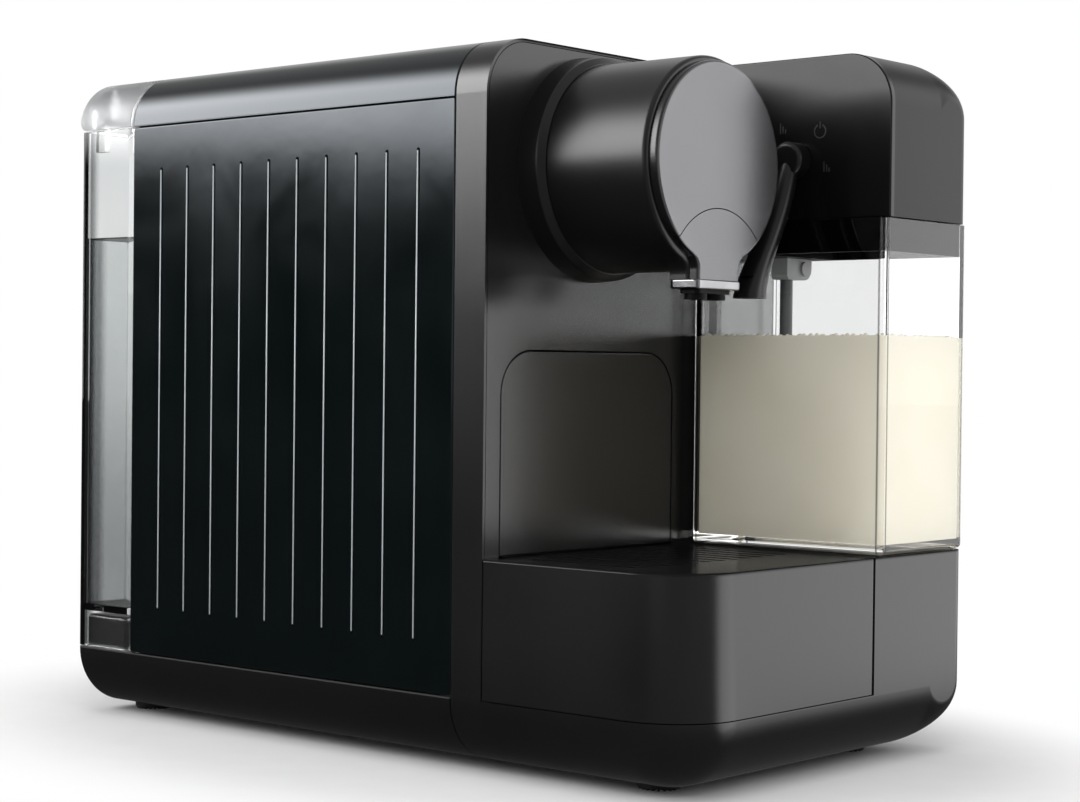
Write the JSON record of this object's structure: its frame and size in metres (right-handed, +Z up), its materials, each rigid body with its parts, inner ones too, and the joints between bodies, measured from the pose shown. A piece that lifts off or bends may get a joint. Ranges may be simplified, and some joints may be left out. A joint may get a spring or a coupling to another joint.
{
  "type": "pod coffee machine",
  "caption": "Compact pod coffee machine with grooved side panels, round brew head, rear water tank, drip drawer and a clear milk jar under a milk head.",
  "frame": {"origin": "on the table under the middle of the machine", "axes": "+X to the right seen from the front, +Y to the back, +Z up; the front faces -Y"},
  "size_m": [0.182, 0.33, 0.272],
  "materials": {
    "gloss_panel": "piano gloss",
    "matte_body": "fine grain",
    "satin_head": "satin",
    "face": "satin grey",
    "bright_trim": "polished",
    "clear_tank": "clear",
    "clear_jar": "clear",
    "rubber": "matte",
    "steel": "brushed",
    "heater": "cast",
    "board": "solder mask",
    "inner_plastic": "plain",
    "hose": "silicone"
  },
  "bodies": {
    "housing": {"front_frame": "matte_body", "front_wall": "matte_body", "side_panel_left": "gloss_panel", "side_panel_right": "gloss_panel", "top_cover": "gloss_panel", "rear_wall": "matte_body", "rear_base": "matte_body", "front_base": "matte_body", "rubber_feet": "rubber", "base_screws": "steel", "cord_gland": "rubber", "brew_collar": "satin_head", "brew_barrel": "satin_head", "face_plate": "face", "spout_cover": "face", "spout_band": "bright_trim", "coffee_nozzle": "matte_body", "coffee_duct": "hose", "brew_frame": "inner_plastic", "pierce_plate": "steel", "brew_gasket": "rubber", "water_lance": "steel", "head_shell": "satin_head", "touch_panel": "matte_body", "head_floor": "matte_body", "touch_board": "board", "frother": "inner_plastic", "milk_socket": "rubber", "milk_hose": "hose", "steam_pipe": "hose", "bay_liner": "inner_plastic", "inner_deck": "inner_plastic", "thermoblock": "heater", "pump_mounts": "rubber", "pump": "inner_plastic", "flow_meter": "inner_plastic", "inlet_hose": "hose", "pump_hose": "hose", "pressure_hose": "hose", "main_board": "board", "tank_stand": "matte_body", "tank_seat": "rubber"},
    "lever": {"lever": "gloss_panel", "crank_pin": "steel"},
    "piston": {"piston": "inner_plastic"},
    "drawer": {"drip_tray": "matte_body", "capsule_bin": "matte_body", "bin_front": "matte_body"},
    "grille": {"drip_grille": "matte_body"},
    "jar": {"milk_jar": "clear_jar", "jar_lid": "matte_body", "suction_pipe": "hose", "pipe_clip": "clear_jar"},
    "arm": {"milk_arm": "satin_head"},
    "tank": {"water_tank": "clear_tank", "lid_pins": "steel"},
    "tank_lid": {"tank_lid": "clear_tank"},
    "valve": {"tank_valve": "inner_plastic"}
  },
  "joints": [
    {"name": "lever_lift", "type": "hinge", "parent": "housing", "child": "lever", "pos_m": [-0.0305, 0.018, 0.23], "axis": [-1, 0, 0], "range_deg": [0, 60]},
    {"name": "piston_slide", "type": "slide", "parent": "housing", "child": "piston", "axis": [0, 1, 0], "range_m": [0, 0.02828]},
    {"name": "drawer_slide", "type": "slide", "parent": "housing", "child": "drawer", "axis": [0, -1, 0], "range_m": [0, 0.18]},
    {"name": "grille_lift", "type": "slide", "parent": "drawer", "child": "grille", "axis": [0, 0, 1], "range_m": [0, 0.05]},
    {"name": "jar_slide", "type": "slide", "parent": "housing", "child": "jar", "axis": [0, -1, 0], "range_m": [0, 0.11]},
    {"name": "arm_swing", "type": "hinge", "parent": "housing", "child": "arm", "pos_m": [0.033, -0.122, 0.232], "axis": [-1, 0, 0], "range_deg": [0, 60]},
    {"name": "tank_lift", "type": "slide", "parent": "housing", "child": "tank", "axis": [0, 0, 1], "range_m": [0, 0.26]},
    {"name": "lid_hinge", "type": "hinge", "parent": "tank", "child": "tank_lid", "pos_m": [0, 0.16, 0.255], "axis": [-1, 0, 0], "range_deg": [0, 95]},
    {"name": "valve_slide", "type": "slide", "parent": "tank", "child": "valve", "axis": [0, 0, 1], "range_m": [-0.003, 0]}
  ],
  "couplings": [
    {"joint": "piston_slide", "follows": "lever_lift", "m_per_rad": 0.027009},
    {"joint": "valve_slide", "follows": "tank_lift", "ratio": -0.011539}
  ]
}
